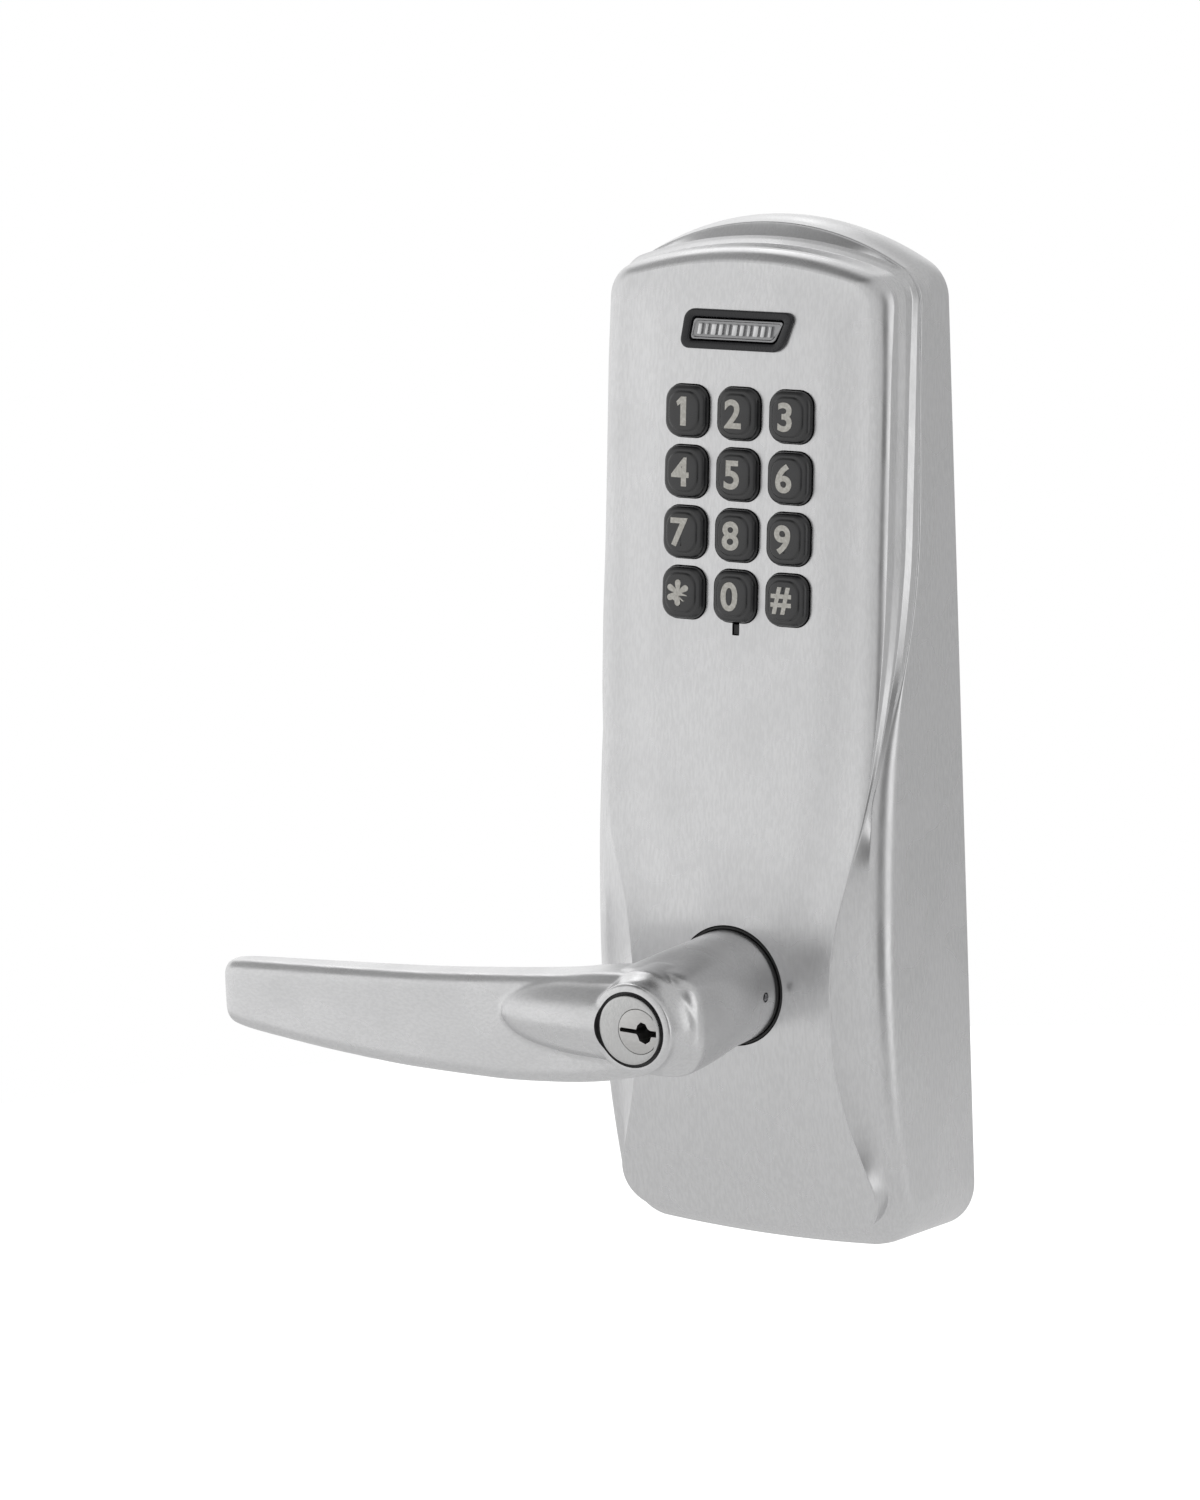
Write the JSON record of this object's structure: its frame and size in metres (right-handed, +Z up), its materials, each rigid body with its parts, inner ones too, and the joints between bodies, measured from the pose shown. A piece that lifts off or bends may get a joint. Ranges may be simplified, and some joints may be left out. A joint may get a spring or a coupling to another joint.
{
  "type": "keypad lever lock, outside half",
  "caption": "Outside half of an electronic door lock: tall metal housing with a push-button keypad, badge button and a lever handle with a key cylinder.",
  "frame": {"origin": "centre of the rear face that lies on the door, on the centre line and at mid height of the housing", "axes": "+Y out of the rear face into the door, -Y to the person using it, +Z up, +X to the right seen from the front"},
  "size_m": [0.182, 0.1431, 0.277],
  "materials": {
    "satin_chrome": "satin",
    "key_rubber": "matte",
    "mat_rubber": "matte",
    "circuit_board": "satin",
    "black_plastic": "satin",
    "badge_silver": "satin",
    "light_pipe": "gloss",
    "cylinder_chrome": "satin",
    "plug_nickel": "satin nickel plate",
    "capacitor_sleeve": "gloss",
    "zinc_steel": "zinc plated",
    "zinc_plate": "zinc plated",
    "black_nylon": "matte"
  },
  "bodies": {
    "housing_assembly": {"housing": "satin_chrome", "back_plate": "zinc_plate", "badge_bezel": "black_plastic", "light_pipe": "light_pipe", "keypad_mat": "mat_rubber", "keypad_board": "circuit_board", "weep_tab": "mat_rubber", "lever_bushing": "black_nylon", "spring_cage": "zinc_plate", "cage_cover": "zinc_steel", "return_spring": "zinc_steel", "mount_post_1": "zinc_steel", "mount_post_2": "zinc_steel", "mount_post_3": "zinc_steel", "plate_screw_1": "zinc_steel", "plate_screw_2": "zinc_steel", "plate_screw_3": "zinc_steel", "plate_screw_4": "zinc_steel", "control_board": "circuit_board", "sounder": "black_plastic", "harness_connector": "black_nylon", "capacitor_pack": "capacitor_sleeve", "clutch_motor": "zinc_plate"},
    "key_1_body": {"key_1": "key_rubber"},
    "key_2_body": {"key_2": "key_rubber"},
    "key_3_body": {"key_3": "key_rubber"},
    "key_4_body": {"key_4": "key_rubber"},
    "key_5_body": {"key_5": "key_rubber"},
    "key_6_body": {"key_6": "key_rubber"},
    "key_7_body": {"key_7": "key_rubber"},
    "key_8_body": {"key_8": "key_rubber"},
    "key_9_body": {"key_9": "key_rubber"},
    "key_star_body": {"key_star": "key_rubber"},
    "key_0_body": {"key_0": "key_rubber"},
    "key_hash_body": {"key_hash": "key_rubber"},
    "badge_body": {"badge_button": "badge_silver"},
    "lever_body": {"lever": "satin_chrome", "drive_sleeve": "zinc_steel", "cylinder_body": "cylinder_chrome"},
    "plug_body": {"cylinder_plug": "plug_nickel", "tailpiece": "zinc_steel"},
    "catch_body": {"lever_catch": "zinc_steel"},
    "spindle_body": {"spindle": "zinc_steel"},
    "drive_screw_body": {"drive_screw": "zinc_steel"},
    "slider_body": {"clutch_slider": "black_nylon"}
  },
  "joints": [
    {"name": "key_1_press", "type": "slide", "parent": "housing_assembly", "child": "key_1_body", "axis": [0, 0.9942, -0.1077], "range_m": [0, 0.0012], "stiffness_N_per_m": 900},
    {"name": "key_2_press", "type": "slide", "parent": "housing_assembly", "child": "key_2_body", "axis": [0, 0.9942, -0.1077], "range_m": [0, 0.0012], "stiffness_N_per_m": 900},
    {"name": "key_3_press", "type": "slide", "parent": "housing_assembly", "child": "key_3_body", "axis": [0, 0.9942, -0.1077], "range_m": [0, 0.0012], "stiffness_N_per_m": 900},
    {"name": "key_4_press", "type": "slide", "parent": "housing_assembly", "child": "key_4_body", "axis": [0, 0.9942, -0.1077], "range_m": [0, 0.0012], "stiffness_N_per_m": 900},
    {"name": "key_5_press", "type": "slide", "parent": "housing_assembly", "child": "key_5_body", "axis": [0, 0.9942, -0.1077], "range_m": [0, 0.0012], "stiffness_N_per_m": 900},
    {"name": "key_6_press", "type": "slide", "parent": "housing_assembly", "child": "key_6_body", "axis": [0, 0.9942, -0.1077], "range_m": [0, 0.0012], "stiffness_N_per_m": 900},
    {"name": "key_7_press", "type": "slide", "parent": "housing_assembly", "child": "key_7_body", "axis": [0, 0.9942, -0.1077], "range_m": [0, 0.0012], "stiffness_N_per_m": 900},
    {"name": "key_8_press", "type": "slide", "parent": "housing_assembly", "child": "key_8_body", "axis": [0, 0.9942, -0.1077], "range_m": [0, 0.0012], "stiffness_N_per_m": 900},
    {"name": "key_9_press", "type": "slide", "parent": "housing_assembly", "child": "key_9_body", "axis": [0, 0.9942, -0.1077], "range_m": [0, 0.0012], "stiffness_N_per_m": 900},
    {"name": "key_star_press", "type": "slide", "parent": "housing_assembly", "child": "key_star_body", "axis": [0, 0.9942, -0.1077], "range_m": [0, 0.0012], "stiffness_N_per_m": 900},
    {"name": "key_0_press", "type": "slide", "parent": "housing_assembly", "child": "key_0_body", "axis": [0, 0.9942, -0.1077], "range_m": [0, 0.0012], "stiffness_N_per_m": 900},
    {"name": "key_hash_press", "type": "slide", "parent": "housing_assembly", "child": "key_hash_body", "axis": [0, 0.9942, -0.1077], "range_m": [0, 0.0012], "stiffness_N_per_m": 900},
    {"name": "badge_press", "type": "slide", "parent": "housing_assembly", "child": "badge_body", "axis": [0, 0.9942, -0.1077], "range_m": [0, 0.0008], "stiffness_N_per_m": 900},
    {"name": "lever_turn", "type": "hinge", "parent": "housing_assembly", "child": "lever_body", "pos_m": [0, 0, -0.062], "axis": [0, 1, 0], "range_deg": [-50, 50], "stiffness_Nm_per_rad": 4, "springref_deg": 2.01},
    {"name": "key_plug_turn", "type": "hinge", "parent": "lever_body", "child": "plug_body", "pos_m": [0.0029, 0, -0.062], "axis": [0, 1, 0], "range_deg": [-90, 90]},
    {"name": "catch_press", "type": "slide", "parent": "lever_body", "child": "catch_body", "axis": [-1, 0, 0], "range_m": [0, 0.0013], "stiffness_N_per_m": 300},
    {"name": "spindle_turn", "type": "hinge", "parent": "housing_assembly", "child": "spindle_body", "pos_m": [0, 0, -0.062], "axis": [0, 1, 0], "range_deg": [-50, 50], "stiffness_Nm_per_rad": 0.02},
    {"name": "drive_screw_turn", "type": "hinge", "parent": "housing_assembly", "child": "drive_screw_body", "pos_m": [-0.022, -0.02, -0.012], "axis": [0, 0, 1], "range_deg": [0, 720]},
    {"name": "clutch_slide", "type": "slide", "parent": "housing_assembly", "child": "slider_body", "axis": [0, 0, 1], "range_m": [0, 0.003]}
  ],
  "couplings": [
    {"joint": "drive_screw_turn", "follows": "clutch_slide", "rad_per_m": 4188.8}
  ]
}
